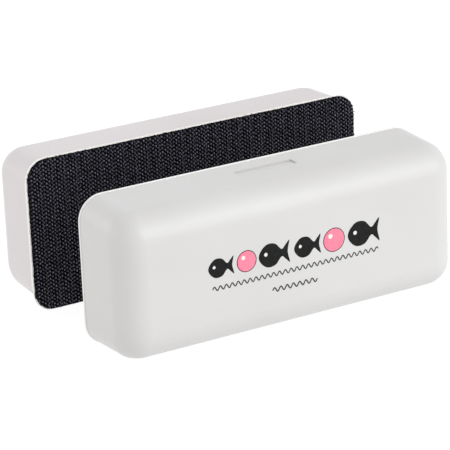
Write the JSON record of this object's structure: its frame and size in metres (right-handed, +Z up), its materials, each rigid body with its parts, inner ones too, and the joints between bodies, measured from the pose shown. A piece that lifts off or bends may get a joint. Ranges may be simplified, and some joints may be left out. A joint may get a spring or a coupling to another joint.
{
  "type": "magnetic glass cleaner",
  "caption": "Floating magnetic aquarium glass cleaner: a smooth round-edged handle half faces a matching float half with a black hook-type scrubbing pad.",
  "frame": {"origin": "on the supporting surface, midway along the halves and midway between them, where the glass pane's middle would stand", "axes": "+X along the halves, +Y from the handle half to the float half (square to the glass), +Z up"},
  "size_m": [0.14, 0.101, 0.0579],
  "materials": {
    "shell_plastic": "satin",
    "base_plastic": "satin",
    "seal_cement": "satin",
    "yoke_steel": "satin",
    "magnet_ferrite": "matte",
    "foam": "matte",
    "adhesive_film": "matte",
    "felt": "matte",
    "scrub_fabric": "matte",
    "print_ink": "satin"
  },
  "bodies": {
    "handle_half": {"handle_shell": "shell_plastic", "handle_base_plate": "base_plastic", "handle_seal_bead": "seal_cement", "handle_yoke_plate": "yoke_steel", "handle_magnet_1": "magnet_ferrite", "handle_magnet_2": "magnet_ferrite", "handle_magnet_3": "magnet_ferrite", "handle_magnet_4": "magnet_ferrite", "handle_foam_block": "foam", "handle_pad_adhesive": "adhesive_film", "handle_felt_pad": "felt"},
    "float_half": {"float_shell": "shell_plastic", "float_base_plate": "base_plastic", "float_seal_bead": "seal_cement", "float_yoke_plate": "yoke_steel", "float_magnet_1": "magnet_ferrite", "float_magnet_2": "magnet_ferrite", "float_magnet_3": "magnet_ferrite", "float_magnet_4": "magnet_ferrite", "float_foam_block": "foam", "float_pad_adhesive": "adhesive_film", "float_scrub_pad": "scrub_fabric"}
  },
  "joints": [
    {"name": "float_approach", "type": "slide", "parent": "handle_half", "child": "float_half", "axis": [0, 1, 0], "range_m": [-0.0368, 0.04]}
  ]
}
